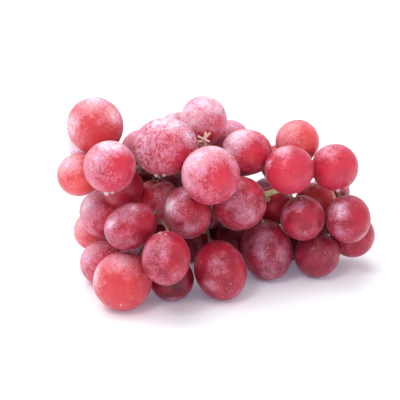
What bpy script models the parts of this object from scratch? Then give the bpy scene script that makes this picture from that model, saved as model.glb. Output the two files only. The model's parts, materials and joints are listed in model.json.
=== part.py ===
# A bunch of red table grapes, as picked, lying on its side on a flat surface.
# One stem with its side branches and pedicels carries the berries. Every berry is a body of its own.
# +X runs along the bunch towards its tip, +Y points to its back and +Z up. The table is at z = 0.
import math

import bmesh
import bpy
import numpy as np
from mathutils import Matrix, Vector

MM = 0.001

# Driving dimensions, in millimetres
GAP = 0.42                # room that is kept between any two pieces
REST_DEPTH = 0.35         # how far a resting berry is pressed flat
REST_REACH = 2.0          # a berry this close to the table rests on it
DIMPLE_DEPTH = 1.5        # hollow where the pedicel meets the berry
SCAR_DEPTH = 0.25         # hollow at the berry's far end, where the flower was
PEDICEL_RADIUS = 0.8
PEDICEL_ROOT_RADIUS = 0.72
RECEPTACLE_RADIUS = 1.75  # the swollen end of a pedicel
PEDICEL_SHORTEST = 3.0
PEDICEL_LONGEST = 22.0
PEDICEL_PARTS = 4         # straight runs that a pedicel's curve is made from
RECEPTACLE_LIFT = 0.8     # room between the receptacle and the bottom of its hollow
NECK_HEIGHT = 1.0         # how far above its berry a pedicel starts to swell
STRAIGHT_END = 2.6        # how far beyond that its curve still heads straight away
TIGHTEST_BEND = 110       # the most that a pedicel turns on its way, in degrees
SHOWN_CONE = 25           # how far a pedicel may leave a long axis that shows, in degrees
FREE_CONE = 60            # how far it may lean on a berry whose axis doesn't show, in degrees
CROWD_REACH = 1.5         # pedicels that leave the stem closer than this are crowded
CROWD_COST = 2.5          # what each crowded neighbour costs, in mm of length
TURN_COST = 0.04          # what leaning costs, in mm of length per degree
DIRECTION_COUNT = 400     # directions that are tried all round a berry
BARE_RACHIS_POINTS = 6    # points at the cut end of the rachis that carry no pedicel
STEM_STEP = 3.0           # spacing of the points that the stem's curves are made from
SPAN_POINTS = 12          # points between two given ones before they are spaced evenly
RACHIS_SIDES = 10
BRANCH_SIDES = 6
PEDICEL_SIDES = 6
BERRY_SIDES = 14
BERRY_RINGS = 8
MERGE_REACH = 0.02        # edges shorter than this are closed up after joining
RIM_MERGE = 0.1           # corners closer than this become one on the rim of a pressed flat
TUBE_WELD = 0.01
LEVEL = 1e-6              # metres, within which a corner counts as lying on the table

# Berry colours, from the pale frosted top of the bunch to its shaded underside
TONES = {
    "frosted": (0.62, 0.20, 0.24),
    "coral": (0.68, 0.14, 0.13),
    "crimson": (0.50, 0.07, 0.10),
    "mauve": (0.40, 0.08, 0.13),
    "dark": (0.24, 0.03, 0.06),
}
STEM_COLOUR = (0.38, 0.33, 0.10)
SKIN_ROUGHNESS = 0.42
STEM_ROUGHNESS = 0.6

# The stem: points along each axis in mm, and the radius at its two ends.
# The rachis starts at the cut peduncle, low at the back on the left, and ends at the tip.
RACHIS = {
    "path": [(-79, 45, 44), (-68, 37, 46), (-55, 22, 49), (-41, 9, 54), (-24, 6, 55), (-8, 9, 52),
             (6, 13, 44), (18, 11, 39.5), (28, 10, 41.5), (37, 11, 45), (44, 12, 47.5), (50, 18, 48.5)],
    "radii": (2.6, 1.3),
}
# Each side branch starts on the rachis or on another branch.
BRANCHES = {
    "shoulder": {
        "path": [(-26, 6, 55), (-32, 1, 54.5), (-36, 0, 59), (-40, 1, 64), (-45, 0, 68.5)],
        "radii": (1.5, 1.15),
    },
    "shoulder_back": {"path": [(-50, 17, 51), (-50, 7, 57), (-52, 4, 62)], "radii": (1.5, 1.15)},
    "low_left": {
        "path": [(-43, 11, 53.5), (-42, 14, 45), (-41.5, 13, 34), (-42, 5, 24.5), (-37, -5, 23.5),
                 (-31, -13, 28), (-30, -15.5, 35), (-29, -16, 41)],
        "radii": (1.5, 1.15),
    },
    "crown": {"path": [(-9, 9, 52), (-8, 6, 60), (-5.5, 2, 65), (-5.5, 1, 70)], "radii": (1.5, 1.2)},
    "heart": {
        "path": [(-7, 8, 53), (-5, -2, 49), (-4, -5, 41), (-4, -3, 32), (-6, 0, 24)],
        "radii": (1.5, 1.15),
    },
    "right_top": {"path": [(37, 11, 45), (41, 9, 52), (45, 7, 58)], "radii": (1.4, 1.15)},
    "right_low": {
        "path": [(49, 17, 48.5), (57, 23.5, 44), (63, 22, 34), (60, 14, 26), (56, 11.5, 22.5)],
        "radii": (1.4, 1.15),
    },
    "back_left": {"path": [(-24, 6, 55), (-27, 19, 51.5), (-26, 30, 50)], "radii": (1.5, 1.15)},
    "back_low": {"path": [(5, 13, 45), (4, 20, 40), (0, 26, 30), (-4, 28, 24)], "radii": (1.5, 1.15)},
    "right_back": {"path": [(37, 11, 45), (40, 18, 45), (41, 25, 43)], "radii": (1.4, 1.15)},
    "back_right": {"path": [(10, 13, 43), (11, 23, 43), (13, 31, 41)], "radii": (1.5, 1.15)},
}

# A short stalk at the crown whose berries have dropped off, with the bare pedicels left on it.
BARE_STALK = [(-5.5, 1.5, 69), (-5.7, -0.2, 71), (-5.7, -1, 72.6)]
BARE_PEDICELS = [
    [(-5.5, -0.9, 72.2), (-8.9, -1.5, 74)],
    [(-5.6, -0.9, 72.0), (-4.9, -0.5, 75.9)],
    [(-5.7, -1.0, 72.1), (-2.7, -1.5, 75.6)],
    [(-5.8, -0.9, 72.3), (-3.0, -2.6, 71.4)],
]
BARE_PEDICEL_RADII = (0.6, 0.75)

# The berries that show from the front, by the branch that they hang near.
# Each row: place of the middle, width, length, tone, and the way its long axis points if that shows.
FRONT = {
    "shoulder": [
        ((-57.5, 0, 78.5), 27, 27, "coral", None),
        ((-61.5, 20, 62.5), 23.5, 23.5, "mauve", None),
        ((-48.5, -25.5, 66.5), 24, 24, "frosted", None),
        ((-64, -8, 57), 20.5, 22, "coral", (0.9, 0.35, 0.25)),
        ((-45.5, -6, 49.5), 20, 20, "dark", None),
    ],
    "crown": [
        ((-24, -5.5, 70), 27.5, 31.5, "frosted", (0.88, 0.25, 0.4)),
        ((-37.5, 19.5, 59.5), 21.5, 21.5, "mauve", None),
        ((-19.5, 34, 64.5), 22.5, 22.5, "mauve", None),
        ((-6, 15, 77.5), 23, 24, "frosted", (0, -0.9, -0.43)),
        ((6.5, 29, 62), 22, 22, "mauve", None),
        ((-2.5, -24.5, 62), 27, 27.5, "frosted", None),
    ],
    "heart": [
        ((14.5, 9, 63), 22.5, 25.5, "frosted", (-0.9, 0.1, 0.35)),
        ((11, -9.5, 43), 26, 26.5, "crimson", None),
        ((-13.5, -16, 41), 22.5, 25.5, "mauve", (-0.34, 0.35, 0.87)),
        ((-18.5, 21.5, 40.5), 22, 22, "dark", None),
        ((2, -21.5, 14), 25, 29.5, "crimson", (-0.42, 0.3, 0.85)),
        ((6, 21, 11), 22, 22, "dark", None),
    ],
    "low_left": [
        ((-29, 2, 39.5), 22.5, 22.5, "mauve", None),
        ((-39.5, -28.5, 38.5), 21, 25.5, "mauve", (0.93, 0.2, 0.3)),
        ((-22.5, -43.5, 29), 22, 25, "crimson", (-0.32, 0.45, 0.83)),
        ((-43.5, -34, 13.6), 27.5, 27.5, "coral", None),
        ((-55, 3.5, 33), 24.5, 25, "crimson", None),
        ((-62.5, 19, 17.5), 20.5, 20.5, "mauve", None),
        ((-56, -6, 10.5), 22, 22, "crimson", None),
        ((-21, -24.5, 10.3), 21, 21, "dark", None),
        ((-28, 13, 20.5), 20.5, 20.5, "dark", None),
    ],
    "right_top": [
        ((35, -5.5, 58.5), 23.5, 24, "frosted", None),
        ((58, 6, 56), 23, 23.5, "crimson", None),
        ((40.5, 19.5, 65), 22, 22, "coral", None),
    ],
    "right_low": [
        ((26, 0, 15.2), 25.5, 31, "mauve", (-0.13, 0.2, 0.97)),
        ((29.5, 22, 30), 20, 20, "dark", None),
        ((42, -1.5, 32), 22, 22, "crimson", None),
        ((50.5, 3, 11.2), 23, 23, "crimson", None),
        ((64.5, -1.5, 32), 22, 24, "crimson", (-0.12, 0.25, 0.96)),
        ((69.5, 17, 16), 23, 23, "mauve", None),
        ((51, 18.5, 33), 21, 21, "crimson", None),
        ((38.5, 24, 10), 20, 20, "dark", None),
    ],
    "back": [
        ((-38, 33, 38), 21, 21, "dark", None),
        ((32.5, 35, 48.5), 20.5, 20.5, "mauve", None),
        ((27.5, 42.5, 28), 19, 19, "mauve", None),
    ],
}

# The berries behind them, in rows along the back: height of the row, its distance back,
# where each berry stands along it, and the width of its berries.
BACK_ROWS = [
    {"height": 11, "depth": 14, "along": (-10,), "width": 22, "tone": "dark"},
    {"height": 11, "depth": 36, "along": (-44, -22, 2, 22), "width": 22, "tone": "crimson"},
    {"height": 31, "depth": 46, "along": (-52, -29, -6, 12), "width": 22, "tone": "mauve"},
    {"height": 52, "depth": 44, "along": (-28, -4, 15), "width": 21, "tone": "mauve"},
    {"height": 20, "depth": 42, "along": (54,), "width": 21, "tone": "crimson"},
    {"height": 24, "depth": 24, "along": (57,), "width": 16, "tone": "crimson"},
    {"height": 33, "depth": 22, "along": (-3,), "width": 17, "tone": "dark"},
]
WIDTH_SPREAD = 0.8        # how much a back berry's width varies, in mm
DEPTH_SPREAD = 2.0        # and its distance back
HEIGHT_SPREAD = 1.0       # and its height
OVERLAP_STEP = 0.5        # the part of an overlap that each step takes away
FIRM_EASE = 0.2           # how readily a berry that shows gives way, where a hidden one is 1
BACK_PULL = 0.12          # how far a back berry moves inwards at each step, in mm
BACK_ROOM = 5.0           # room that is left between a back berry and the stem for its pedicel
HOME_PULL = 0.08          # the part of its drift that a front berry takes back at each step
SETTLED_AFTER = 300       # steps with these pulls, before the last ones that only part the berries
SPREAD_STEPS = 400
RANDOM_SEED = 7


class Berry:
    """A berry's place, size and colour, in millimetres."""

    def __init__(self, name, centre, width, length, tone, axis=None, front=True):
        self.name = name
        self.centre = np.array(centre, dtype=float)
        self.home = self.centre.copy()
        self.across = width / 2
        self.along = length / 2
        self.tone = tone
        self.axis = None if axis is None else np.array(axis) / np.linalg.norm(axis)
        self.fixed_axis = axis is not None
        self.front = front
        self.rests = False

    def balls(self):
        """The round balls that fill the berry: their middles and radii."""
        if self.axis is None or self.along <= self.across:
            return [(self.centre, self.along)]
        tip = self.across ** 2 / self.along
        shift = (self.along - tip) * self.axis
        return [(self.centre, self.across), (self.centre + shift, tip), (self.centre - shift, tip)]


def list_berries():
    draw = np.random.default_rng(RANDOM_SEED)
    berries = []
    for branch, rows in FRONT.items():
        for number, (centre, width, length, tone, axis) in enumerate(rows, start=1):
            berries.append(Berry(f"berry_{branch}_{number}", centre, width, length, tone, axis))
    number = len(FRONT["back"])
    for row in BACK_ROWS:
        for along in row["along"]:
            number += 1
            width = row["width"] + WIDTH_SPREAD * draw.uniform(-1, 1)
            depth = row["depth"] + DEPTH_SPREAD * draw.uniform(-1, 1)
            height = row["height"] + HEIGHT_SPREAD * draw.uniform(-1, 1)
            centre = (along, depth, height)
            berries.append(Berry(f"berry_back_{number}", centre, width, width, row["tone"], front=False))
    return berries


def smooth_path(points, step):
    """Points at an even step along a smooth curve through the given points."""
    points = np.array(points, dtype=float)
    padded = np.vstack([2 * points[0] - points[1], points, 2 * points[-1] - points[-2]])
    fine = []
    for i in range(1, len(padded) - 2):
        before, start, end, after = padded[i - 1:i + 3]
        for t in np.linspace(0, 1, SPAN_POINTS, endpoint=False):
            fine.append(0.5 * (2 * start + (end - before) * t
                               + (2 * before - 5 * start + 4 * end - after) * t ** 2
                               + (3 * start - before - 3 * end + after) * t ** 3))
    fine.append(points[-1])
    fine = np.array(fine)
    reach = np.concatenate([[0], np.cumsum(np.linalg.norm(np.diff(fine, axis=0), axis=1))])
    count = max(2, round(reach[-1] / step))
    even = np.linspace(0, reach[-1], count + 1)
    return np.column_stack([np.interp(even, reach, fine[:, k]) for k in range(3)])


def stem_axes():
    """Each axis of the stem as evenly spaced points with their radii."""
    axes = {}
    for name, axis in {"rachis": RACHIS, **BRANCHES}.items():
        path = smooth_path(axis["path"], STEM_STEP)
        axes[name] = (path, np.linspace(*axis["radii"], len(path)))
    return axes


def spread_berries(berries, axes):
    """Move the berries until each is clear of the others, of the stem and of the table."""
    stem_points = np.vstack([path for path, radii in axes.values()])
    stem_radii = np.concatenate([radii for path, radii in axes.values()])
    shows = [berry.front and berry.tone != "dark" for berry in berries]
    ease = np.where(shows, FIRM_EASE, 1.0)
    for step in range(SPREAD_STEPS):
        owners, middles, radii = [], [], []
        for index, berry in enumerate(berries):
            for middle, radius in berry.balls():
                owners.append(index)
                middles.append(middle)
                radii.append(radius)
        owners, middles, radii = np.array(owners), np.array(middles), np.array(radii)
        moves = np.zeros((len(berries), 3))
        apart = middles[:, None] - middles[None]
        distance = np.linalg.norm(apart, axis=2) + 1e-9
        overlap = radii[:, None] + radii[None] + GAP - distance
        overlap[owners[:, None] == owners[None]] = 0
        for i, j in zip(*np.nonzero(overlap > 0)):
            share = ease[owners[i]] / (ease[owners[i]] + ease[owners[j]])
            moves[owners[i]] += OVERLAP_STEP * share * overlap[i, j] * apart[i, j] / distance[i, j]
        away = middles[:, None] - stem_points[None]
        distance = np.linalg.norm(away, axis=2) + 1e-9
        overlap = radii[:, None] + stem_radii[None] + GAP - distance
        for i in range(len(middles)):
            j = int(np.argmax(overlap[i]))
            if overlap[i, j] > 0:
                moves[owners[i]] += OVERLAP_STEP * overlap[i, j] * away[i, j] / distance[i, j]
        for index, berry in enumerate(berries):
            if berry.front and step < SETTLED_AFTER:
                moves[index] += HOME_PULL * (berry.home - berry.centre)
            if not berry.front and step < SETTLED_AFTER:
                inwards = stem_points - berry.centre
                nearest = inwards[np.argmin(np.linalg.norm(inwards, axis=1))]
                room = np.linalg.norm(nearest)
                if room > berry.along + BACK_ROOM:
                    moves[index] += BACK_PULL * nearest / room
            berry.centre += moves[index]
            lowest = min(middle[2] - radius for middle, radius in berry.balls())
            berry.rests = lowest < REST_REACH
            if berry.rests:
                berry.centre[2] -= lowest + REST_DEPTH


def pass_segment(point, start, end):
    """How close a segment comes to a point, and how far along it that is, from 0 to 1."""
    along = end - start
    t = np.clip(np.dot(point - start, along) / max(np.dot(along, along), 1e-9), 0, 1)
    return np.linalg.norm(point - (start + t * along)), t


def is_clear(path, radii, berries, own):
    """Whether a round tube passes every berry but its own with the gap."""
    for index, berry in enumerate(berries):
        if index == own:
            continue
        for middle, size in berry.balls():
            for k in range(len(path) - 1):
                distance, t = pass_segment(middle, path[k], path[k + 1])
                if distance < size + GAP + (1 - t) * radii[k] + t * radii[k + 1]:
                    return False
    return True


def directions_around(axis, widest):
    """The axis itself and a spread of directions within the given angle of it."""
    around = [np.array(axis)]
    for k in range(DIRECTION_COUNT):
        height = 1 - 2 * (k + 0.5) / DIRECTION_COUNT
        turn = k * math.pi * (3 - math.sqrt(5))
        flat = math.sqrt(1 - height ** 2)
        direction = np.array([flat * math.cos(turn), flat * math.sin(turn), height])
        if np.dot(direction, axis) > math.cos(widest):
            around.append(direction)
    return around


def pedicel_path(anchor, berry, axis):
    """A curve from the stem that bends into the berry's axis, then a straight neck into its hollow."""
    neck = berry.centre + axis * (berry.along + NECK_HEIGHT)
    knee = neck + axis * STRAIGHT_END
    path = []
    for t in np.linspace(0, 1, PEDICEL_PARTS):
        path.append((1 - t) ** 2 * anchor + 2 * t * (1 - t) * knee + t ** 2 * neck)
    path.append(berry.centre + axis * (berry.along - DIMPLE_DEPTH + RECEPTACLE_LIFT))
    return np.array(path)


def pedicel_radii():
    return [PEDICEL_ROOT_RADIUS] + [PEDICEL_RADIUS] * (PEDICEL_PARTS - 1) + [RECEPTACLE_RADIUS]


def leaves_berry(curve, berry):
    """Whether a pedicel stays off the side of its own berry until its neck."""
    away = [np.linalg.norm(point - berry.centre) - berry.along for point in curve[:-2]]
    return min(away) > PEDICEL_RADIUS + GAP


def bend_of(curve):
    """The angle in degrees between the two ends of a curve."""
    first = curve[1] - curve[0]
    last = curve[-1] - curve[-2]
    cosine = np.dot(first, last) / (np.linalg.norm(first) * np.linalg.norm(last))
    return math.degrees(math.acos(np.clip(cosine, -1, 1)))


def grow_pedicel(index, berries, axes, used):
    """The shortest way from the stem to a berry that passes clear of its neighbours."""
    berry = berries[index]
    best, best_cost = None, math.inf
    for name, (path, radii) in axes.items():
        start_at = BARE_RACHIS_POINTS if name == "rachis" else 1
        for anchor in path[start_at:]:
            towards = anchor - berry.centre
            reach = np.linalg.norm(towards)
            if reach > berry.along + PEDICEL_LONGEST:
                continue
            crowd = sum(1 for other in used if np.linalg.norm(other - anchor) < CROWD_REACH)
            if reach - berry.along + CROWD_COST * crowd > best_cost:
                continue
            straight = berry.axis if berry.fixed_axis else towards / reach
            widest = math.radians(SHOWN_CONE if berry.fixed_axis else FREE_CONE)
            for axis in directions_around(straight, widest):
                curve = pedicel_path(anchor, berry, axis)
                length = np.sum(np.linalg.norm(np.diff(curve, axis=0), axis=1))
                turned = math.degrees(math.acos(np.clip(np.dot(axis, straight), -1, 1)))
                if bend_of(curve) > TIGHTEST_BEND:
                    continue
                cost = length + CROWD_COST * crowd + TURN_COST * turned
                if cost >= best_cost or not PEDICEL_SHORTEST < length < PEDICEL_LONGEST:
                    continue
                if not leaves_berry(curve, berry):
                    continue
                if is_clear(curve, pedicel_radii(), berries, index):
                    best, best_cost = (curve, axis), cost
    if best is None:
        raise RuntimeError(f"{berry.name} finds no way to the stem")
    return best


def new_material(name, colour, roughness):
    material = bpy.data.materials.new(name)
    material.use_nodes = True
    shader = material.node_tree.nodes["Principled BSDF"]
    shader.inputs["Base Color"].default_value = (*colour, 1)
    shader.inputs["Roughness"].default_value = roughness
    shader.inputs["Metallic"].default_value = 0
    return material


def add_object(name, mesh, material):
    mesh.materials.clear()
    mesh.materials.append(material)
    mesh.shade_smooth()
    made = bpy.data.objects.new(name, mesh)
    bpy.context.scene.collection.objects.link(made)
    return made


def press_flat(shape):
    """Lower the shape until it reaches just under the table, and cut it off level there."""
    lowest = min(vert.co.z for vert in shape.verts)
    bmesh.ops.translate(shape, verts=shape.verts, vec=(0, 0, -REST_DEPTH * MM - lowest))
    everything = shape.verts[:] + shape.edges[:] + shape.faces[:]
    bmesh.ops.bisect_plane(shape, geom=everything, plane_co=(0, 0, 0), plane_no=(0, 0, -1),
                           dist=LEVEL / 10, clear_outer=True)
    rim = [vert for vert in shape.verts if abs(vert.co.z) < LEVEL]
    bmesh.ops.remove_doubles(shape, verts=rim, dist=RIM_MERGE * MM)
    open_edges = [edge for edge in shape.edges if edge.is_boundary]
    bmesh.ops.holes_fill(shape, edges=open_edges, sides=0)


def make_berry(berry, axis, material):
    """A berry with the hollow for its pedicel at one pole and the flower scar at the other."""
    shape = bmesh.new()
    bmesh.ops.create_uvsphere(shape, u_segments=BERRY_SIDES, v_segments=BERRY_RINGS, radius=1)
    for vert in shape.verts:
        hollow = 0
        if math.hypot(vert.co.x, vert.co.y) < LEVEL:
            hollow = DIMPLE_DEPTH if vert.co.z > 0 else SCAR_DEPTH
        height = vert.co.z * (berry.along - hollow)
        vert.co = Vector((vert.co.x * berry.across, vert.co.y * berry.across, height)) * MM
    turn = Vector((0, 0, 1)).rotation_difference(Vector(axis)).to_matrix().to_4x4()
    place = Matrix.Translation(Vector(berry.centre) * MM)
    bmesh.ops.transform(shape, matrix=place @ turn, verts=shape.verts)
    if berry.rests:
        press_flat(shape)
    mesh = bpy.data.meshes.new(berry.name)
    shape.to_mesh(mesh)
    shape.free()
    return add_object(berry.name, mesh, material)


def make_tube(name, path, radii, sides):
    """A round tube along a path in mm, with a radius at each point, as a closed mesh."""
    curve = bpy.data.curves.new(name, "CURVE")
    curve.dimensions = "3D"
    curve.bevel_depth = MM
    curve.bevel_resolution = (sides - 4) // 2
    curve.use_fill_caps = True
    spline = curve.splines.new("POLY")
    spline.points.add(len(path) - 1)
    for point, place, radius in zip(spline.points, path, radii):
        point.co = (*(Vector(place) * MM), 1)
        point.radius = radius
    guide = bpy.data.objects.new(name, curve)
    bpy.context.scene.collection.objects.link(guide)
    bpy.context.view_layer.update()
    ready = guide.evaluated_get(bpy.context.evaluated_depsgraph_get())
    mesh = bpy.data.meshes.new_from_object(ready)
    mesh.name = name
    bpy.data.objects.remove(guide)
    shape = bmesh.new()
    shape.from_mesh(mesh)
    bmesh.ops.remove_doubles(shape, verts=shape.verts, dist=TUBE_WELD * MM)
    bmesh.ops.recalc_face_normals(shape, faces=shape.faces)
    shape.to_mesh(mesh)
    shape.free()
    return mesh


def every_second(points):
    """Every second point, and always the last one."""
    return points[:-1][::2].tolist() + [points[-1]]


def make_stem(axes, pedicels, material):
    """The rachis with every side branch and pedicel grown into it as one body."""
    path, radii = axes["rachis"]
    rachis = make_tube("stem", every_second(path), every_second(radii), RACHIS_SIDES)
    stem = add_object("stem", rachis, material)
    twigs = bpy.data.collections.new("twigs")
    bpy.context.scene.collection.children.link(twigs)
    meshes = []
    for name, (path, radii) in axes.items():
        if name != "rachis":
            meshes.append(make_tube(name, every_second(path), every_second(radii), BRANCH_SIDES))
    for number, curve in enumerate(pedicels):
        meshes.append(make_tube(f"pedicel_{number}", curve, pedicel_radii(), PEDICEL_SIDES))
    stalk_radii = [PEDICEL_RADIUS] * len(BARE_STALK)
    meshes.append(make_tube("bare_stalk", BARE_STALK, stalk_radii, BRANCH_SIDES))
    for number, path in enumerate(BARE_PEDICELS):
        meshes.append(make_tube(f"bare_pedicel_{number}", path, BARE_PEDICEL_RADII, PEDICEL_SIDES))
    for mesh in meshes:
        twigs.objects.link(bpy.data.objects.new(mesh.name, mesh))
    join = stem.modifiers.new("join", "BOOLEAN")
    join.operation = "UNION"
    join.operand_type = "COLLECTION"
    join.collection = twigs
    join.solver = "EXACT"
    bpy.context.view_layer.update()
    ready = stem.evaluated_get(bpy.context.evaluated_depsgraph_get())
    joined = bpy.data.meshes.new_from_object(ready)
    stem.modifiers.remove(join)
    for twig in list(twigs.objects):
        bpy.data.objects.remove(twig)
    bpy.data.collections.remove(twigs)
    shape = bmesh.new()
    shape.from_mesh(joined)
    bmesh.ops.triangulate(shape, faces=shape.faces)
    bmesh.ops.dissolve_degenerate(shape, dist=MERGE_REACH * MM, edges=shape.edges)
    slivers = [face for face in shape.faces if all(edge.is_boundary for edge in face.edges)]
    bmesh.ops.delete(shape, geom=slivers, context="FACES")
    bmesh.ops.triangulate(shape, faces=shape.faces)
    shape.to_mesh(joined)
    shape.free()
    joined.materials.clear()
    joined.materials.append(material)
    joined.shade_smooth()
    stem.data = joined
    return stem


def centre_bunch(pieces):
    """Bring the middle of the bunch's outline over the origin, with the table left at z = 0."""
    corners = np.array([vert.co for piece in pieces for vert in piece.data.vertices])
    middle = (corners.min(axis=0) + corners.max(axis=0)) / 2
    for piece in pieces:
        piece.data.transform(Matrix.Translation((-middle[0], -middle[1], 0)))


def main():
    for old in list(bpy.data.objects):
        bpy.data.objects.remove(old)
    berries = list_berries()
    axes = stem_axes()
    spread_berries(berries, axes)
    skins = {}
    for tone, colour in TONES.items():
        skins[tone] = new_material(f"grape skin {tone}", colour, SKIN_ROUGHNESS)
    pieces, pedicels = [], []
    for index, berry in enumerate(berries):
        roots = [other[0] for other in pedicels]
        curve, axis = grow_pedicel(index, berries, axes, roots)
        pedicels.append(curve)
        pieces.append(make_berry(berry, axis, skins[berry.tone]))
    rind = new_material("grape stem", STEM_COLOUR, STEM_ROUGHNESS)
    pieces.append(make_stem(axes, pedicels, rind))
    centre_bunch(pieces)


main()
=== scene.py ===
# Bunch of red table grapes lying on a pale table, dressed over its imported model
import json
import math
import random

import bmesh
import bpy
import numpy as np
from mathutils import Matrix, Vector, noise
from mathutils.kdtree import KDTree


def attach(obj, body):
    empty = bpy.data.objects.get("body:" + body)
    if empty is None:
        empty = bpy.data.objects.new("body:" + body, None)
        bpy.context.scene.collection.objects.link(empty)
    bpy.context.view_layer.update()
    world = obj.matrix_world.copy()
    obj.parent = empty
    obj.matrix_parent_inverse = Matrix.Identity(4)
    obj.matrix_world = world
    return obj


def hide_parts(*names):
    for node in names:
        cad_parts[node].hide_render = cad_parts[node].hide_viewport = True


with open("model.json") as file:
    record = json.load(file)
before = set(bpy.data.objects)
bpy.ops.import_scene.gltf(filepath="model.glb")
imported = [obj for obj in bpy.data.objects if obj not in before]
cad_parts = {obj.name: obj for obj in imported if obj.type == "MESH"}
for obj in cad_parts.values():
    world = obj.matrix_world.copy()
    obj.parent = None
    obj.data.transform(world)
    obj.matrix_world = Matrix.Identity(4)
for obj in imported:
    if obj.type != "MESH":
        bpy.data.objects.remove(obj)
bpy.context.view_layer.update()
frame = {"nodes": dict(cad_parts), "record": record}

mm = 0.001
print("packed model loaded:", len(frame["nodes"]), "nodes")


# colour from an sRGB hex value to the linear one that the shaders use
def colour(hexValue):
    value = hexValue.lstrip("#")
    out = []
    for i in (0, 2, 4):
        channel = int(value[i:i + 2], 16) / 255
        out.append(channel / 12.92 if channel <= 0.04045 else ((channel + 0.055) / 1.055) ** 2.4)
    return (*out, 1.0)


# adds one node with its settings and gives back one output. Its sockets come in order, or by name or number,
# and each takes a value or the output that is linked to it
def addNode(tree, kind, sockets=(), out=0, **settings):
    node = tree.nodes.new(kind)
    for key, value in settings.items():
        setattr(node, key, value)
    for key, value in sockets.items() if isinstance(sockets, dict) else enumerate(sockets):
        if isinstance(value, bpy.types.NodeSocket):
            tree.links.new(value, node.inputs[key])
        else:
            node.inputs[key].default_value = value
    return node.outputs[out] if len(node.outputs) else None


# a new material, still empty
def startMaterial(name, hexValue):
    material = bpy.data.materials.new(name)
    material.use_nodes = True
    material.diffuse_color = colour(hexValue)
    material.node_tree.nodes.clear()
    return material, material.node_tree


def addObject(name, data):
    made = bpy.data.objects.new(name, data)
    bpy.context.scene.collection.objects.link(made)
    return made


# makes a shape a piece, with its material, and hides the imported nodes that it stands for
def finishMesh(name, shape, material, cadNodes):
    mesh = bpy.data.meshes.new(name)
    shape.to_mesh(mesh)
    shape.free()
    mesh.materials.append(material)
    mesh.shade_smooth()
    piece = addObject(name, mesh)
    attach(piece, "root")
    if cadNodes:
        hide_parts(*cadNodes)


# the lens sees the bunch from a little above and from half a metre away
camera = {
    "place": (-0.29, -469.0, 208.9),   # mm
    "tilt": 70,                        # degrees from straight down
    "film": 36,                        # mm wide
    "lens": 91.125,                    # mm
    "shift": (-0.04, 0.0075),
    "nearest": 10,                     # mm
}
eyeData = bpy.data.cameras.new("view")
eyeData.sensor_width = camera["film"]
eyeData.lens = camera["lens"]
eyeData.shift_x, eyeData.shift_y = camera["shift"]
eyeData.clip_start = camera["nearest"] * mm
eye = addObject("view", eyeData)
eye.location = Vector(camera["place"]) * mm
eye.rotation_euler = (math.radians(camera["tilt"]), 0, 0)
bpy.context.scene.camera = eye
# how things lie on the picture: across it, up it, and out of it
acrossThePicture = Vector((1, 0, 0))
upThePicture = eye.rotation_euler.to_matrix() @ Vector((0, 1, 0))
towardsEye = eye.rotation_euler.to_matrix() @ Vector((0, 0, 1))

studio = {
    "sky": {"tint": "#FFFFFF", "strength": 0.8},
    "floor": {"tint": "#F4FAFC", "halfWidth": 3000},         # mm
    "floorGlow": {"tint": "#DCD4FF", "strength": 0.14},      # keeps the lit paper white in the picture
    # soft light from above and behind, its spread in degrees
    "window": {"tint": "#FFFFFF", "strength": 1.7, "from": (-0.22, 0.28, 0.93), "spread": 55},
    # one small lamp: its place, aim and width in mm, and its power in W
    "sparkle": {"tint": "#FFFFFF", "power": 0.45, "place": (-160, -260, 420), "aim": (0, 0, 40), "width": 110},
}
sky, window, sparkle = studio["sky"], studio["window"], studio["sparkle"]
world = bpy.data.worlds.new("white studio")
bpy.context.scene.world = world
world.use_nodes = True
tree = world.node_tree
tree.nodes.clear()
skyLight = addNode(tree, "ShaderNodeBackground", {"Color": colour(sky["tint"]), "Strength": sky["strength"]})
addNode(tree, "ShaderNodeOutputWorld", {"Surface": skyLight})

windowData = bpy.data.lights.new("window", "SUN")
windowData.energy = window["strength"]
windowData.angle = math.radians(window["spread"])
windowData.color = colour(window["tint"])[:3]
windowLight = addObject("window", windowData)
windowLight.rotation_euler = Vector(window["from"]).to_track_quat("Z", "Y").to_euler()

sparkleData = bpy.data.lights.new("sparkle", "AREA")
sparkleData.size = sparkle["width"] * mm
sparkleData.energy = sparkle["power"]
sparkleData.color = colour(sparkle["tint"])[:3]
sparkleLight = addObject("sparkle", sparkleData)
sparkleLight.location = Vector(sparkle["place"]) * mm
aimed = Vector(sparkle["aim"]) * mm - sparkleLight.location
sparkleLight.rotation_euler = aimed.to_track_quat("-Z", "Y").to_euler()

bpy.context.scene.view_settings.view_transform = "Standard"
bpy.context.scene.view_settings.look = "None"
bpy.context.scene.view_settings.exposure = 0
bpy.context.scene.view_settings.gamma = 1

floorShape = bmesh.new()
bmesh.ops.create_grid(floorShape, x_segments=1, y_segments=1, size=studio["floor"]["halfWidth"] * mm)
floorMesh = bpy.data.meshes.new("floor")
floorShape.to_mesh(floorMesh)
floorShape.free()
# matt white sweep of paper: gives the eye nothing but the shadow
paper, tree = startMaterial("white paper floor", studio["floor"]["tint"])
sheet = addNode(tree, "ShaderNodeBsdfDiffuse", {"Color": colour(studio["floor"]["tint"])})
glow = addNode(tree, "ShaderNodeEmission", {
    "Color": colour(studio["floorGlow"]["tint"]), "Strength": studio["floorGlow"]["strength"]})
both = addNode(tree, "ShaderNodeAddShader", (sheet, glow))
addNode(tree, "ShaderNodeOutputMaterial", {"Surface": both})
floorMesh.materials.append(paper)
floor = addObject("floor", floorMesh)
print("view, light and floor set")
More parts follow.
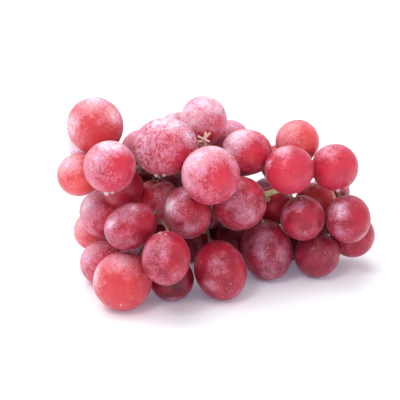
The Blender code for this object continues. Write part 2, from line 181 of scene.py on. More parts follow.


# skin is the bare skin, blush where the bloom is rubbed off and a painted glow stands for light coming through
# it, powder its bloom, and deep the darker clouds in it
tones = {
    "frosted": {"skin": "#D43A56", "rubAndGlow": "#DA3046", "powder": "#F4C0D2", "deep": "#B82A48"},
    "coral": {"skin": "#DC4C54", "rubAndGlow": "#D63C40", "powder": "#F4B6BE", "deep": "#CA3C4A"},
    "crimson": {"skin": "#BA2A44", "rubAndGlow": "#BC2238", "powder": "#D892A8", "deep": "#981C36"},
    "mauve": {"skin": "#A82E48", "rubAndGlow": "#B62840", "powder": "#CE8AA0", "deep": "#84203A"},
    # a brighter copy of the skin for grapes lit from behind: painted light
    "backlit": {"skin": "#E86066", "rubAndGlow": "#EA5A52", "powder": "#F6BCC2", "deep": "#D84C58"},
    # a darker copy of the skin for grapes that lie in shade deep in the bunch: painted shade
    "dark": {"skin": "#941A30", "rubAndGlow": "#AE1C2E", "powder": "#A46078", "deep": "#600E26"},
}
skinLook = {
    # each pattern: its size in mm, its detail and its roughness
    "patterns": {
        "blotch": (6.0, 3, 0.55),       # the cloudy thick and thin of the bloom
        "smear": (2.2, 4, 0.65),        # its rubbed edges
        "grain": (0.9, 3, 0.7),         # its grains, drawn coarser than the real ones so that they show
    },
    "patternSpan": (0.3, 0.7),          # a pattern keeps mostly between these values
    # how far each pattern shifts the bloom, with its painted light, and the blush, with its painted glow, to
    # either side
    "bloomShift": {"blotch": 0.18, "smear": 0.13, "grain": 0.2},
    "rubAndGlowShift": {"smear": 0.32, "grain": 0.18},
    # a span says where a layer begins and where it is full, and then, unless they are 0 and 1, how much it
    # covers at either end
    "skinSpan": (0.35, 0.65),           # of the blotches: the skin over its darker clouds
    "rubAndGlowSpan": (0.1, 1.1, 0.0, 0.9),
    "veilAndLightSpan": (0.22, 1.02, 0.0, 0.95),    # of the bloom and its painted light: what it hides of the skin
    "lilac": "#D0A2CA",                 # the bloom where it lies thick
    "lilacSpan": (0.45, 0.7),           # of the blotches
    "hoarAndHighlight": "#F6E2EE",                  # and where it lies thickest, partly a painted highlight where painted light adds to it
    "hoarAndHighlightSpan": (0.8, 1.25),            # of the bloom and its painted light
    "crease": (4.5, 1.5, 0.5, 1.2),     # the folds of a slack berry: mm apart, detail, roughness and bend
    "creaseMiddle": 0.5,                # the value that a crease runs along
    "creaseSpan": (0.0, 0.035, 1.0, 0.0),   # how soon it fades beside that value
    "creaseRub": 0.6,                   # how much bloom it loses
    "freckle": "#84203C",               # small corky spots
    "freckleStep": 1.9,                 # mm between them
    "freckleWidth": 0.45,               # mm
    "freckleStrength": 0.6,
    "freckleSpan": (0.42, 0.58),        # of the smears: where they are
    "scar": "#4A2A26",                  # where the flower was
    "roughSpan": (0.0, 0.7, 0.36, 0.62),    # of the veil: waxy bare skin, matt bloom
    "relief": {"smear": 0.55, "grain": 0.35, "crease": -1.2},
    "reliefHeight": 0.3,                # mm
    "reliefStrength": 0.6,
    "shader": {
        "IOR": 1.42,
        "Specular IOR Level": 0.4,
        "Subsurface Weight": 0.55,
        "Subsurface Scale": mm,
        "Subsurface Radius": (5.0, 1.3, 0.9),   # mm that red, green and blue light travel in the flesh
        "Coat Weight": 0.2,
        "Coat Roughness": 0.15,
        "Sheen Weight": 0.8,
        "Sheen Roughness": 0.1,
        "Sheen Tint": colour("#FFE6EE"),
    },
}


# wet flesh under a thin waxy skin with a powdery bloom: gives a soft red glow under a pale, matt veil, with
# painted light in the bloom at the top and left, a painted highlight where it is whitest, and a painted glow
# in the blush
def grapeSkin(tone, look):
    material, tree = startMaterial("bloomed grape skin " + tone, look["skin"])
    spot = addNode(tree, "ShaderNodeTexCoord", out="Object")
    # the maps that each grape carries
    bloomAndLight, rubAndGlow, scar, slack = [addNode(tree, "ShaderNodeAttribute", out="Fac", attribute_name=each)
                                 for each in ("bloomAndLight", "rubAndGlow", "scar", "slack")]
    patterns = {}
    for each, (size, detail, rough) in skinLook["patterns"].items():
        patterns[each] = addNode(tree, "ShaderNodeTexNoise", {
            "Vector": spot, "Scale": 1 / (size * mm), "Detail": detail, "Roughness": rough})
    # creases of a slack skin, where the bloom has rubbed off in curved lines
    size, detail, rough, bend = skinLook["crease"]
    fold = addNode(tree, "ShaderNodeTexNoise", {
        "Vector": spot, "Scale": 1 / (size * mm), "Detail": detail, "Roughness": rough, "Distortion": bend})
    fold = addNode(tree, "ShaderNodeMath", (fold, skinLook["creaseMiddle"]), operation="SUBTRACT")
    fold = addNode(tree, "ShaderNodeMath", (fold,), operation="ABSOLUTE")
    crease = addNode(tree, "ShaderNodeMapRange", (fold, *skinLook["creaseSpan"]))
    crease = addNode(tree, "ShaderNodeMath", (crease, slack), operation="MULTIPLY")
    patterns["crease"] = crease

    # a map of the grape, broken up by the patterns
    def breakUp(amount, shifts):
        for each, shift in shifts.items():
            span = (*skinLook["patternSpan"], -shift, shift)
            swing = addNode(tree, "ShaderNodeMapRange", (patterns[each], *span))
            amount = addNode(tree, "ShaderNodeMath", (amount, swing), operation="ADD")
        return amount

    # bare skin: its clouds and the blush, which is partly a painted glow
    clear = addNode(tree, "ShaderNodeMapRange", (patterns["blotch"], *skinLook["skinSpan"]))
    rubAndGlow = breakUp(rubAndGlow, skinLook["rubAndGlowShift"])
    rubAndGlow = addNode(tree, "ShaderNodeMapRange", (rubAndGlow, *skinLook["rubAndGlowSpan"]))
    # bloom: how thick it lies, with painted light added to it, and its colours. A colour mix has its factor in
    # socket 0, its two colours in 6 and 7, and its result in output 2
    bloomAndLight = breakUp(bloomAndLight, skinLook["bloomShift"])
    bloomAndLight = addNode(tree, "ShaderNodeMath", (crease, -skinLook["creaseRub"], bloomAndLight), operation="MULTIPLY_ADD")
    veilAndLight = addNode(tree, "ShaderNodeMapRange", (bloomAndLight, *skinLook["veilAndLightSpan"]))
    thick = addNode(tree, "ShaderNodeMapRange", (patterns["blotch"], *skinLook["lilacSpan"]))
    thickestOrLit = addNode(tree, "ShaderNodeMapRange", (bloomAndLight, *skinLook["hoarAndHighlightSpan"]))
    powder = colour(look["powder"])
    for amount, over in ((thick, skinLook["lilac"]), (thickestOrLit, skinLook["hoarAndHighlight"])):
        powder = addNode(tree, "ShaderNodeMix", {0: amount, 6: powder, 7: colour(over)},
                         out=2, data_type="RGBA")
    # freckles, only here and there, each fading from half its width outwards
    cells = addNode(tree, "ShaderNodeTexVoronoi", {
        "Vector": spot, "Scale": 1 / (skinLook["freckleStep"] * mm)}, out="Distance")
    width = skinLook["freckleWidth"] / skinLook["freckleStep"]
    span = (0.5 * width, width, skinLook["freckleStrength"], 0.0)
    freckle = addNode(tree, "ShaderNodeMapRange", (cells, *span))
    there = addNode(tree, "ShaderNodeMapRange", (patterns["smear"], *skinLook["freckleSpan"]))
    freckle = addNode(tree, "ShaderNodeMath", (freckle, there), operation="MULTIPLY")
    # all the layers, from the flesh outwards
    skin = colour(look["deep"])
    for amount, over in ((clear, colour(look["skin"])), (rubAndGlow, colour(look["rubAndGlow"])), (veilAndLight, powder),
                         (freckle, colour(skinLook["freckle"])), (scar, colour(skinLook["scar"]))):
        skin = addNode(tree, "ShaderNodeMix", {0: amount, 6: skin, 7: over}, out=2, data_type="RGBA")
    # the surface: waxy where bare, matt under bloom, and not quite even
    rough = addNode(tree, "ShaderNodeMapRange", (veilAndLight, *skinLook["roughSpan"]))
    height = 0.0
    for each, share in skinLook["relief"].items():
        height = addNode(tree, "ShaderNodeMath", (patterns[each], share, height), operation="MULTIPLY_ADD")
    bump = addNode(tree, "ShaderNodeBump", {
        "Strength": skinLook["reliefStrength"], "Distance": skinLook["reliefHeight"] * mm, "Height": height})
    shader = addNode(tree, "ShaderNodeBsdfPrincipled", {
        "Base Color": skin, "Roughness": rough, "Normal": bump, **skinLook["shader"]})
    addNode(tree, "ShaderNodeOutputMaterial", {"Surface": shader})
    return material


skins = {tone: grapeSkin(tone, look) for tone, look in tones.items()}
print("grape skins mixed:", len(skins))


# Each grape that shows from the front: its tone, how much bloom lies all over it, how slack and so how creased
# its skin is, and "eye", where its flower scar shows. The frost patches are where more bloom lies or, mostly
# towards the upper left, painted light is added, and the blush patches where the bloom is rubbed off and a
# painted glow stands for light coming through the flesh. A place is how far across and up the grape it is,
# from -1 to 1, and a patch has its size and its strength after that.
grapes = {
    "shoulder_1": {
        "tone": "coral", "bloomAndLight": 0.33, "slack": 0.5,
        "frostAndLight": [(0.0, 0.85, 0.6, 0.75), (0.7, 0.35, 0.45, 0.75), (-0.8, 0.0, 0.5, 0.75)],
        "rubAndGlow": [(0.3, -0.5, 0.5, 0.9), (-0.1, -0.15, 0.5, 0.6)],
    },
    "shoulder_2": {
        "tone": "frosted", "bloomAndLight": 0.8,
        "frostAndLight": [(-0.6, 0.2, 0.6, 0.4)],
        "rubAndGlow": [(0.3, -0.7, 0.4, 0.4)],
    },
    "shoulder_3": {
        "tone": "frosted", "bloomAndLight": 0.5, "slack": 0.3, "eye": (-0.24, -0.08),
        "frostAndLight": [(-0.5, 0.3, 0.5, 0.35), (0.1, 0.85, 0.5, 0.9)],
        "rubAndGlow": [(0.6, 0.0, 0.6, 1.0), (0.1, -0.75, 0.5, 0.3)],
    },
    "shoulder_4": {
        "tone": "backlit", "bloomAndLight": 0.4,
        "frostAndLight": [(-0.4, 0.6, 0.6, 0.5)],
        "rubAndGlow": [(0.3, -0.5, 0.6, 0.8)],
    },
    "shoulder_5": {"tone": "crimson", "bloomAndLight": 0.0, "rubAndGlow": [(0.2, 0.0, 1.0, 0.5)]},
    "crown_1": {
        "tone": "frosted", "bloomAndLight": 0.64, "slack": 1.0,
        "frostAndLight": [(0.0, 0.8, 0.5, 0.5), (-0.7, 0.0, 0.4, 0.2), (0.75, 0.3, 0.35, 0.5)],
        "rubAndGlow": [(0.55, -0.45, 0.45, 1.0), (0.2, 0.3, 0.3, 0.5), (-0.1, -0.1, 0.4, 0.25)],
    },
    "crown_2": {"tone": "frosted", "bloomAndLight": 0.6, "rubAndGlow": [(0.2, -0.1, 0.6, 0.6)]},
    "crown_3": {"tone": "mauve", "bloomAndLight": 0.95},
    "crown_4": {
        "tone": "frosted", "bloomAndLight": 0.75, "slack": 0.4,
        "frostAndLight": [(0.3, 0.75, 0.55, 0.5), (-0.7, 0.1, 0.5, 0.6)],
        "rubAndGlow": [(0.6, -0.1, 0.35, 1.0), (0.1, -0.75, 0.5, 0.8)],
    },
    "crown_5": {"tone": "frosted", "bloomAndLight": 0.7, "rubAndGlow": [(0.0, -0.4, 0.5, 0.5)]},
    "crown_6": {
        "tone": "frosted", "bloomAndLight": 0.45, "slack": 0.2, "eye": (-0.07, -0.57),
        "frostAndLight": [(-0.5, 0.5, 0.7, 0.5), (0.1, 0.9, 0.4, 0.5), (-0.8, -0.2, 0.4, 0.4)],
        "rubAndGlow": [(0.35, -0.1, 0.5, 1.0), (-0.1, -0.4, 0.4, 0.4)],
    },
    "heart_1": {
        "tone": "frosted", "bloomAndLight": 0.4, "slack": 0.4,
        "frostAndLight": [(-0.4, 0.7, 0.7, 0.8), (-0.7, 0.0, 0.4, 0.6)],
        "rubAndGlow": [(0.3, -0.1, 0.55, 1.0)],
    },
    "heart_2": {
        "tone": "crimson", "bloomAndLight": 0.4, "slack": 0.3,
        "frostAndLight": [(-0.3, 0.1, 0.45, 0.3), (0.2, -0.4, 0.4, 0.4)],
        "rubAndGlow": [(0.4, 0.6, 0.45, 0.9), (-0.6, -0.35, 0.35, 0.7)],
    },
    "heart_3": {
        "tone": "crimson", "bloomAndLight": 0.45, "slack": 0.2,
        "frostAndLight": [(-0.7, 0.2, 0.45, 0.75), (0.1, -0.65, 0.35, 0.3), (0.0, 0.75, 0.35, 0.4)],
        "rubAndGlow": [(0.6, 0.3, 0.45, 1.0), (0.05, 0.0, 0.35, 0.6)],
    },
    "heart_4": {"tone": "dark", "bloomAndLight": 0.3, "frostAndLight": [(0.0, 0.2, 0.4, 0.3)]},
    "heart_5": {
        "tone": "crimson", "bloomAndLight": 0.22,
        "frostAndLight": [(-0.15, 0.25, 0.35, 0.35), (-0.45, -0.45, 0.25, 0.5), (0.3, -0.6, 0.3, 0.2)],
        "rubAndGlow": [(0.8, 0.0, 0.4, 0.7), (-0.5, 0.6, 0.4, 0.6), (0.2, 0.8, 0.3, 0.5)],
    },
    "heart_6": {"tone": "dark", "bloomAndLight": 0.05},
    "low_left_1": {
        "tone": "frosted", "bloomAndLight": 0.42,
        "frostAndLight": [(0.5, 0.1, 0.45, 0.1)],
        "rubAndGlow": [(-0.5, 0.2, 0.5, 0.9)],
    },
    "low_left_2": {
        "tone": "crimson", "bloomAndLight": 0.35,
        "frostAndLight": [(-0.7, 0.2, 0.4, 0.6), (-0.1, -0.65, 0.4, 0.2), (0.0, 0.8, 0.35, 0.6)],
        "rubAndGlow": [(0.8, 0.1, 0.5, 1.0), (-0.1, -0.1, 0.4, 0.7)],
    },
    "low_left_3": {
        "tone": "crimson", "bloomAndLight": 0.32,
        "frostAndLight": [(-0.35, 0.4, 0.45, 0.3), (0.0, -0.8, 0.3, 0.2)],
        "rubAndGlow": [(0.65, 0.35, 0.5, 1.0), (0.3, -0.15, 0.35, 0.7)],
    },
    "low_left_4": {
        "tone": "coral", "bloomAndLight": 0.38, "slack": 0.2,
        "frostAndLight": [(0.0, 0.7, 0.45, 0.4), (-0.9, 0.2, 0.35, 0.7)],
        "rubAndGlow": [(0.1, -0.2, 0.7, 0.75)],
    },
    "low_left_5": {
        "tone": "frosted", "bloomAndLight": 0.45,
        "frostAndLight": [(-0.6, 0.4, 0.5, 0.55), (0.0, 0.8, 0.3, 0.3)],
        "rubAndGlow": [(0.6, -0.1, 0.6, 0.9)],
    },
    "low_left_6": {
        "tone": "backlit", "bloomAndLight": 0.5,
        "frostAndLight": [(-0.7, 0.3, 0.4, 0.4)],
        "rubAndGlow": [(0.1, -0.2, 0.5, 0.5)],
    },
    "low_left_7": {
        "tone": "frosted", "bloomAndLight": 0.42,
        "frostAndLight": [(-0.7, 0.4, 0.6, 0.4)],
        "rubAndGlow": [(0.2, 0.0, 0.5, 0.7)],
    },
    "low_left_8": {"tone": "dark", "bloomAndLight": 0.05, "frostAndLight": [(0.0, -0.9, 0.35, 0.8)]},
    "low_left_9": {"tone": "dark", "bloomAndLight": 0.1},
    "right_top_1": {
        "tone": "frosted", "bloomAndLight": 0.2, "slack": 0.5, "eye": (0.42, -0.29),
        "frostAndLight": [(-0.3, 0.8, 0.45, 0.55), (-0.85, 0.2, 0.25, 0.5)],
        "rubAndGlow": [(0.35, 0.05, 0.5, 1.0), (-0.3, -0.3, 0.7, 0.9)],
    },
    "right_top_2": {
        "tone": "frosted", "bloomAndLight": 0.2, "slack": 0.6, "eye": (0.08, 0.34),
        "frostAndLight": [(-0.4, 0.75, 0.5, 0.45), (0.0, -0.45, 0.3, 0.3)],
        "rubAndGlow": [(0.5, 0.2, 0.5, 1.0), (-0.4, -0.3, 0.6, 0.9)],
    },
    "right_top_3": {
        "tone": "backlit", "bloomAndLight": 0.35,
        "frostAndLight": [(-0.6, 0.4, 0.5, 0.4), (-0.8, -0.1, 0.3, 0.3)],
        "rubAndGlow": [(0.6, 0.0, 0.5, 0.8)],
    },
    "right_low_1": {
        "tone": "mauve", "bloomAndLight": 0.32,
        "frostAndLight": [(0.0, 0.45, 0.25, 0.4), (-0.35, 0.05, 0.3, 0.35),
                  (0.6, -0.2, 0.3, 0.4), (0.0, -0.7, 0.4, 0.4)],
        "rubAndGlow": [(-0.65, -0.35, 0.4, 0.8), (0.1, 0.05, 0.25, 0.5), (0.45, 0.6, 0.3, 0.6)],
    },
    "right_low_2": {"tone": "crimson", "bloomAndLight": 0.0, "rubAndGlow": [(0.0, 0.0, 1.0, 1.0)]},
    "right_low_3": {
        "tone": "crimson", "bloomAndLight": 0.2, "slack": 0.8,
        "frostAndLight": [(-0.2, 0.65, 0.35, 0.5), (0.0, -0.6, 0.35, 0.3), (-0.8, 0.2, 0.3, 0.4)],
        "rubAndGlow": [(0.15, 0.0, 0.4, 0.9), (-0.6, -0.3, 0.3, 0.6)],
    },
    "right_low_4": {
        "tone": "mauve", "bloomAndLight": 0.15,
        "frostAndLight": [(0.15, 0.25, 0.3, 0.25)],
        "rubAndGlow": [(-0.3, -0.2, 0.5, 0.3)],
    },
    "right_low_5": {
        "tone": "crimson", "bloomAndLight": 0.3, "slack": 0.3,
        "frostAndLight": [(-0.5, 0.4, 0.5, 0.7), (-0.5, -0.5, 0.35, 0.35),
                  (0.55, -0.75, 0.3, 0.6), (0.0, 0.85, 0.3, 0.3)],
        "rubAndGlow": [(0.45, 0.1, 0.6, 1.0)],
    },
    "right_low_6": {"tone": "crimson", "bloomAndLight": 0.3, "rubAndGlow": [(0.2, -0.2, 0.6, 0.5)]},
    "right_low_7": {"tone": "coral", "bloomAndLight": 0.0, "rubAndGlow": [(0.0, 0.0, 1.0, 0.5)]},
    "right_low_8": {"tone": "dark", "bloomAndLight": 0.2},
    "back_1": {"tone": "dark", "bloomAndLight": 0.3},
    "back_2": {"tone": "crimson", "bloomAndLight": 0.15, "rubAndGlow": [(0.0, 0.0, 1.0, 1.0)]},
    "back_3": {"tone": "frosted", "bloomAndLight": 1.0, "frostAndLight": [(0.0, 0.0, 1.0, 0.6)]},
    "back_4": {"tone": "dark", "bloomAndLight": 0.0},
    "back_7": {"tone": "dark", "bloomAndLight": 0.0},
}
# the grapes that the front doesn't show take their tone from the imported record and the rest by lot
hiddenGrapes = {
    "bloomAndLight": (0.3, 0.6),
    "patches": 3,              # of blush with its painted glow, and as many of frost with its painted light
    "patchReach": 0.7,         # how far from the middle they may be, across and up
    "patchSize": (0.3, 0.6),
    "patchStrength": (0.4, 0.9),
    "seed": 11,
}
grapeForm = {
    "around": 64,
    "rings": 40,
    "dimple": (1.5, 2.6),      # mm deep at the pedicel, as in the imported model, and mm that it reaches out
    "scar": (0.25, 0.9),       # the same where the flower was
    "eyeWidth": 0.55,          # mm, half of the brown spot there
    "unevenness": 0.16,        # mm, the most that a firm grape swells or sinks from a smooth oval
    "lumpStep": 9.0,           # mm from one swelling to the next
    # the bloom on a grape: its share all over, the painted light added at the top and on the left, and what is
    # added in drifts
    "bloomShare": 0.85,
    "paintedLightAbove": 0.2,
    "paintedLightLeft": 0.1,
    "bloomDrift": 0.3,
    "driftStep": 12.0,         # mm from one drift to the next
    "driftShift": (3, 7, 1),   # sets the drifts apart from the swellings
    "rubAndGlowLoss": 0.35,          # how much bloom a blush, partly a painted glow, has lost
}
packedBerry = {
    "merge": 0.02,             # mm, corners closer than this are one
    "floorBand": 0.05,         # mm, corners lower than this lie on the flat that the berry rests on
    "poleEdges": 9,            # a pole is a corner where more edges than this meet
}


# what a packed berry's own corners say of it: its middle, its half width and half length, its long axis, the
# bottom of its dimple, and whether it rests on the floor
def fitBerry(node):
    shape = bmesh.new()
    shape.from_mesh(node.data)
    bmesh.ops.remove_doubles(shape, verts=shape.verts, dist=packedBerry["merge"] * mm)
    floorBand = packedBerry["floorBand"] * mm
    free = [vert for vert in shape.verts if vert.co.z > floorBand]
    rests = min(vert.co.z for vert in shape.verts) < floorBand
    middle = Vector(np.mean([vert.co for vert in shape.verts], axis=0))
    # the two poles are the corners where the most edges meet, and the one with the pedicel lies deeper
    poles = sorted(free, key=lambda vert: -len(vert.link_edges))[:2]
    poles = [vert for vert in poles if len(vert.link_edges) > packedBerry["poleEdges"]]
    pole = min(poles, key=lambda vert: (vert.co - middle).length)
    dimple = pole.co.copy()
    # the ring of corners round that pole lies square to the axis
    ring = np.array([edge.other_vert(pole).co for edge in pole.link_edges])
    ringMiddle = ring.mean(axis=0)
    axis = np.linalg.svd(ring - ringMiddle)[2][2]
    if np.dot(axis, ringMiddle - np.array(middle)) < 0:
        axis = -axis
    # along the axis, the square of an oval's width is a parabola
    sides = np.array([vert.co for vert in free if vert not in poles]) - ringMiddle
    height = sides @ axis
    squares = (sides ** 2).sum(axis=1) - height ** 2
    bend, slope, level = np.polyfit(height, squares, 2)
    centreHeight = -slope / (2 * bend)
    across = math.sqrt(level - bend * centreHeight ** 2)
    along = across / math.sqrt(-bend)
    shape.free()
    return {"centre": Vector(ringMiddle + axis * centreHeight), "across": across, "along": along,
            "axis": Vector(axis), "dimple": dimple, "rests": rests}


# the direction from a grape's middle to a place on it, given as it lies on the picture
def patchDirection(across, up):
    out = math.sqrt(max(0.0, 1 - across ** 2 - up ** 2))
    return (across * acrossThePicture + up * upThePicture + out * towardsEye).normalized()


# how strongly a point of the skin is reached by the patch that reaches it most
def patchStrength(outwards, patches):
    return max((strength * math.exp(-((outwards - direction).length / size) ** 2)
                for direction, size, strength in patches), default=0.0)


# a smooth grape where the imported berry is, with maps of its bloom with painted light, its blush with painted
# glow, its scar and slackness
def makeGrape(short, look):
    fit = berryFits["berry_" + short]
    across, along, axis = fit["across"], fit["along"], fit["axis"]
    turn = Vector((0, 0, 1)).rotation_difference(axis)
    slack = look.get("slack", 0.0)
    frostAndLightPatches, rubAndGlowPatches = [
        [(patchDirection(sideways, up), size, strength) for sideways, up, size, strength in look.get(kind, [])]
        for kind in ("frostAndLight", "rubAndGlow")]
    eyeDirection = patchDirection(*look["eye"]) if "eye" in look else -axis
    shape = bmesh.new()
    bmesh.ops.create_uvsphere(shape, u_segments=grapeForm["around"], v_segments=grapeForm["rings"], radius=1)
    maps = {each: shape.verts.layers.float.new(each) for each in ("bloomAndLight", "rubAndGlow", "scar", "slack")}
    for vert in shape.verts:
        unit = vert.co.copy()
        outwards = turn @ unit
        fromAxis = math.hypot(unit.x, unit.y) * across / mm
        depth, width = grapeForm["dimple"] if unit.z > 0 else grapeForm["scar"]
        hollow = depth * math.exp(-(fromAxis / width) ** 2)
        fromMiddle = unit.z * along - math.copysign(hollow * mm, unit.z)
        place = fit["centre"] + turn @ Vector((unit.x * across, unit.y * across, fromMiddle))
        lump = noise.noise(place / (grapeForm["lumpStep"] * mm))
        place += outwards * lump * (1 + slack) * grapeForm["unevenness"] * mm
        if fit["rests"] and place.z < 0:
            place.z = 0
        vert.co = place
        rubAndGlow = patchStrength(outwards, rubAndGlowPatches)
        frostAndLight = patchStrength(outwards, frostAndLightPatches)
        drift = noise.noise(place / (grapeForm["driftStep"] * mm) + Vector(grapeForm["driftShift"]))
        share = (grapeForm["bloomShare"] + grapeForm["paintedLightAbove"] * outwards.z
                 - grapeForm["paintedLightLeft"] * outwards.x + grapeForm["bloomDrift"] * drift)
        bloomAndLight = look["bloomAndLight"] * share + frostAndLight - grapeForm["rubAndGlowLoss"] * rubAndGlow
        vert[maps["bloomAndLight"]] = min(1.0, max(0.0, bloomAndLight))
        vert[maps["rubAndGlow"]] = rubAndGlow
        vert[maps["slack"]] = slack
        fromEye = (outwards - eyeDirection).length * across / mm
        vert[maps["scar"]] = math.exp(-(fromEye / grapeForm["eyeWidth"]) ** 4)   # even, with a quick edge
    finishMesh("grape_" + short, shape, skins[look["tone"]], ["berry_" + short])


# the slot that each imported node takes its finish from
packedSlots = {part["node"]: part["material_slot"] for part in frame["record"]["subparts"]}
berryFits = {name: fitBerry(node) for name, node in frame["nodes"].items() if name.startswith("berry_")}
draw = random.Random(hiddenGrapes["seed"])
reach = hiddenGrapes["patchReach"]
for name in berryFits:
    short = name.removeprefix("berry_")
    look = grapes.get(short)
    if look is None:
        patches = []
        for count in range(2 * hiddenGrapes["patches"]):
            patches.append((draw.uniform(-reach, reach), draw.uniform(-reach, reach),
                            draw.uniform(*hiddenGrapes["patchSize"]),
                            draw.uniform(*hiddenGrapes["patchStrength"])))
        look = {"tone": packedSlots[name].removeprefix("berry_skin_"),
                "bloomAndLight": draw.uniform(*hiddenGrapes["bloomAndLight"]),
                "rubAndGlow": patches[::2], "frostAndLight": patches[1::2]}
    makeGrape(short, look)
print("grapes made:", len(berryFits))


stem = {
    "merge": 0.01,                   # mm, packed corners closer than this are one
    "voxel": 0.35,                   # mm, the mesh of the grown-together stem
    "smoothing": (6, 0.5),           # rounds and strength
    # places and reaches in mm
    "bareTwig": (-5.8, -4.8, 73.5),  # where the berries have dropped and the twig has dried
    "bareReach": 6.0,
    "bareStrength": 0.9,
    "freshMiddle": (28.0, 5.0, 42.0),    # where the main stem is still fresh, without browning or painted shade
    "freshReach": 11.0,
    "brownShadeReach": 16.0,              # the browning of a pedicel, from its berry, which is also painted shade in the gaps of the bunch
    "brownShadeStrength": 0.95,
    "collarReach": 2.2,              # the corky swelling against the berry
    "collarStrength": 0.4,
    "green": "#D4C88C",
    "straw": "#ECDCB0",
    "strawSpan": (0.4, 0.65),        # of the knots: where the green turns to straw
    "cork": "#8A6238",
    "corkSpan": (0.55, 0.75),        # of the specks: where they are corky
    # brown of a drying pedicel, which also stands as painted shade in the gaps between the berries
    "brownShade": "#6A4030",
    "tan": "#F0C8B8",
    # each pattern: its size in mm, its detail and its roughness
    "knot": (3.5, 3, 0.5),           # from one knot or furrow to the next
    "speck": (1.1, 4, 0.7),          # from one corky speck to the next
    "relief": 0.4,                   # mm
    "reliefStrength": 0.5,
    "shader": {
        "Roughness": 0.6,
        "Subsurface Weight": 0.15,
        "Subsurface Scale": mm,
        "Subsurface Radius": (1.2, 1.0, 0.4),   # mm
    },
}


# green grape wood that has begun to dry: gives a dull yellow green, browned along the pedicels near the
# berries, where the brown is partly painted shade in the gaps
def stemRind():
    material, tree = startMaterial("drying green grape stem", stem["green"])
    spot = addNode(tree, "ShaderNodeTexCoord", out="Object")
    knots, specks = [addNode(tree, "ShaderNodeTexNoise", {
        "Vector": spot, "Scale": 1 / (size * mm), "Detail": detail, "Roughness": rough,
    }) for size, detail, rough in (stem["knot"], stem["speck"])]
    layers = (
        (addNode(tree, "ShaderNodeMapRange", (knots, *stem["strawSpan"])), stem["straw"]),
        (addNode(tree, "ShaderNodeMapRange", (specks, *stem["corkSpan"])), stem["cork"]),
        (addNode(tree, "ShaderNodeAttribute", out="Fac", attribute_name="brownShade"), stem["brownShade"]),
        (addNode(tree, "ShaderNodeAttribute", out="Fac", attribute_name="tan"), stem["tan"]),
    )
    rind = colour(stem["green"])
    for amount, over in layers:
        rind = addNode(tree, "ShaderNodeMix", {0: amount, 6: rind, 7: colour(over)},
                       out=2, data_type="RGBA")
    bump = addNode(tree, "ShaderNodeBump", {
        "Strength": stem["reliefStrength"], "Distance": stem["relief"] * mm, "Height": specks})
    shader = addNode(tree, "ShaderNodeBsdfPrincipled", {"Base Color": rind, "Normal": bump, **stem["shader"]})
    addNode(tree, "ShaderNodeOutputMaterial", {"Surface": shader})
    return material


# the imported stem, its straight lengths grown together and rounded off
def makeStem():
    shape = bmesh.new()
    shape.from_mesh(frame["nodes"]["stem"].data)
    bmesh.ops.remove_doubles(shape, verts=shape.verts, dist=stem["merge"] * mm)
    angular = bpy.data.meshes.new("rough stem")
    shape.to_mesh(angular)
    shape.free()
    holder = addObject("rough stem", angular)
    remesh = holder.modifiers.new("grow together", "REMESH")
    remesh.mode = "VOXEL"
    remesh.voxel_size = stem["voxel"] * mm
    smooth = holder.modifiers.new("round off", "SMOOTH")
    smooth.iterations, smooth.factor = stem["smoothing"]
    bpy.context.view_layer.update()
    ready = holder.evaluated_get(bpy.context.evaluated_depsgraph_get())
    rounded = bpy.data.meshes.new_from_object(ready)
    bpy.data.objects.remove(holder)
    shape = bmesh.new()
    shape.from_mesh(rounded)
    brownShadeMap = shape.verts.layers.float.new("brownShade")
    tanMap = shape.verts.layers.float.new("tan")
    bareTwig = Vector(stem["bareTwig"]) * mm
    freshMiddle = Vector(stem["freshMiddle"]) * mm
    dimples = KDTree(len(berryFits))
    for number, fit in enumerate(berryFits.values()):
        dimples.insert(fit["dimple"], number)
    dimples.balance()
    for vert in shape.verts:
        fromBerry = dimples.find(vert.co)[2] / mm
        fromTwig = (vert.co - bareTwig).length / mm
        fromFresh = (vert.co - freshMiddle).length / mm
        awayFromFresh = 1 - math.exp(-(fromFresh / stem["freshReach"]) ** 4)
        brownedOrShaded = math.exp(-(fromBerry / stem["brownShadeReach"]) ** 4)
        vert[brownShadeMap] = stem["brownShadeStrength"] * awayFromFresh * brownedOrShaded
        vert[tanMap] = max(stem["collarStrength"] * math.exp(-(fromBerry / stem["collarReach"]) ** 2),
                           stem["bareStrength"] * math.exp(-(fromTwig / stem["bareReach"]) ** 4))
    print("stem faces:", len(shape.faces))
    finishMesh("grape_stem", shape, stemRind(), ["stem"])


makeStem()
print("stem made")


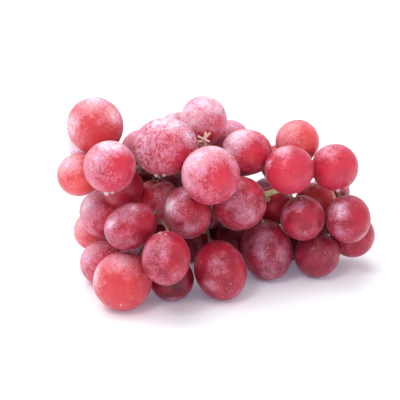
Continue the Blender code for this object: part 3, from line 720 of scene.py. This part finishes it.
# Beads of water left from rinsing: the grape that each is on, how far across and up it, from -1 to 1, its
# width in mm, and how much it hangs, as the share by which its lower half is drawn out downwards
water = {
    "beads": [
        ("low_left_1", 0.0, 0.9, 1.2, 0.0), ("low_left_2", 0.1, 0.8, 1.2, 0.0),
        ("low_left_2", 0.3, 0.68, 0.7, 0.0), ("low_left_2", -0.55, 0.6, 0.7, 0.0),
        ("low_left_3", -0.25, 0.93, 1.2, 0.0), ("low_left_3", 0.0, 0.9, 1.0, 0.0),
        ("low_left_4", 0.0, -0.75, 1.0, 0.0), ("shoulder_3", -0.1, -0.98, 2.6, 0.45),
        ("shoulder_3", 0.12, -0.97, 1.6, 0.3), ("crown_1", -0.25, -0.96, 2.4, 0.4),
        ("crown_1", 0.0, -0.97, 1.8, 0.3), ("crown_1", -0.62, -0.7, 1.2, 0.2),
        ("right_top_2", 0.1, -0.97, 2.2, 0.4), ("right_top_1", -0.82, 0.3, 1.3, 0.0),
        ("right_low_3", -0.1, 0.85, 1.2, 0.0), ("right_low_1", 0.0, 0.1, 0.7, 0.0),
        ("right_low_1", 0.35, -0.15, 0.6, 0.0), ("right_low_1", 0.0, -0.75, 0.6, 0.0),
        ("right_low_1", -0.1, 0.93, 1.4, 0.0), ("heart_5", 0.35, -0.35, 0.7, 0.0),
        ("right_low_4", 0.25, 0.1, 0.6, 0.0), ("crown_1", 0.75, 0.35, 1.1, 0.0),
    ],
    # shares of a bead's width
    "above": 0.45,        # its height over its middle
    "below": 0.25,        # and its depth under that
    "sunk": 0.12,         # how deep its middle lies in the skin
    "hangFrom": 0.1,      # where it starts to hang, above its middle
    "around": 20,
    "rings": 12,
    "ripple": 0.8,        # mm from one tint to the other
    # a pinkish and a white tint, the white a painted highlight on the beads
    "tints": ("#FFE2E6", "#FFFFFF"),
    "shader": {"Roughness": 0.03, "IOR": 1.333, "Transmission Weight": 0.5},
}


# water drawn into a bead, half clear and whitened as a painted highlight: gives a bright point with a darker
# edge
def waterWithPaintedGlint():
    material, tree = startMaterial("beads of clear water", "#FFFFFF")
    spot = addNode(tree, "ShaderNodeTexCoord", out="Object")
    ripple = addNode(tree, "ShaderNodeTexNoise", {"Vector": spot, "Scale": 1 / (water["ripple"] * mm)})
    pinkish, clear = [colour(each) for each in water["tints"]]
    tint = addNode(tree, "ShaderNodeMix", {0: ripple, 6: pinkish, 7: clear}, out=2, data_type="RGBA")
    shader = addNode(tree, "ShaderNodeBsdfPrincipled", {"Base Color": tint, **water["shader"]})
    addNode(tree, "ShaderNodeOutputMaterial", {"Surface": shader})
    return material


# all the beads are one piece, and each sits a little in its grape
def makeWater():
    shape = bmesh.new()
    for short, sideways, up, width, hang in water["beads"]:
        width *= mm
        fit = berryFits["berry_" + short]
        outwards = patchDirection(sideways, up)
        turn = Vector((0, 0, 1)).rotation_difference(fit["axis"])
        unit = turn.inverted() @ outwards
        onSkin = Vector((unit.x * fit["across"], unit.y * fit["across"], unit.z * fit["along"]))
        middle = fit["centre"] + turn @ onSkin - outwards * water["sunk"] * width
        bead = bmesh.ops.create_uvsphere(shape, u_segments=water["around"], v_segments=water["rings"],
                                         radius=0.5 * width)
        stand = Vector((0, 0, 1)).rotation_difference(outwards)
        for vert in bead["verts"]:
            vert.co.z *= 2 * (water["above"] if vert.co.z > 0 else water["below"])
            vert.co = middle + stand @ vert.co
            vert.co.z -= hang * max(0.0, middle.z + water["hangFrom"] * width - vert.co.z)
    finishMesh("water_beads", shape, waterWithPaintedGlint(), [])


makeWater()
print("water beads made:", len(water["beads"]))
